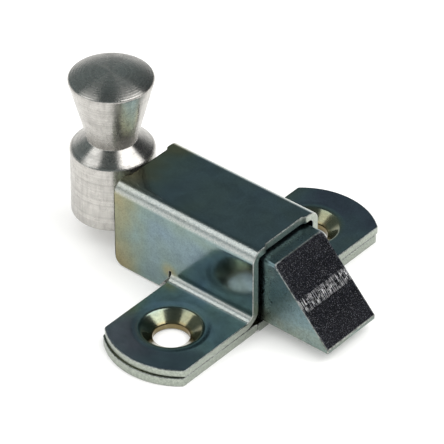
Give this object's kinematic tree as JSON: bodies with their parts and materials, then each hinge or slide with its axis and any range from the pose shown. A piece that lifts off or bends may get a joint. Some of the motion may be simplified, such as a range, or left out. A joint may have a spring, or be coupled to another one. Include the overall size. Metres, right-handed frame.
{
  "type": "door bolt",
  "caption": "Surface-mounted sprung door bolt: folded sheet cover on a countersunk base plate, bevelled latch bolt, turned pull knob.",
  "frame": {"origin": "midway between the two screw holes, on the face that is screwed to the door", "axes": "+X the way the bolt shoots out, +Y from screw hole to screw hole, +Z away from the door"},
  "size_m": [0.0527, 0.051, 0.0282],
  "materials": {
    "plated_cover": "zinc plated and passivated, glossy",
    "plated_plate": "zinc plated and passivated, glossy",
    "plated_bolt": "zinc plated and passivated, scratched on the bevel",
    "stem_steel": "drawn bar, bright zinc",
    "spring_steel": "drawn spring wire",
    "turned_knob": "turned from bar, satin"
  },
  "bodies": {
    "housing": {"cover": "plated_cover", "base_plate": "plated_plate", "spring": "spring_steel"},
    "bolt": {"latch_bolt": "plated_bolt", "bolt_stem": "stem_steel", "knob": "turned_knob"}
  },
  "joints": [
    {"name": "bolt_slide", "type": "slide", "parent": "housing", "child": "bolt", "axis": [-1, 0, 0], "range_m": [0, 0.012], "stiffness_N_per_m": 850, "springref_m": -0.006, "deforming": ["spring"]}
  ]
}
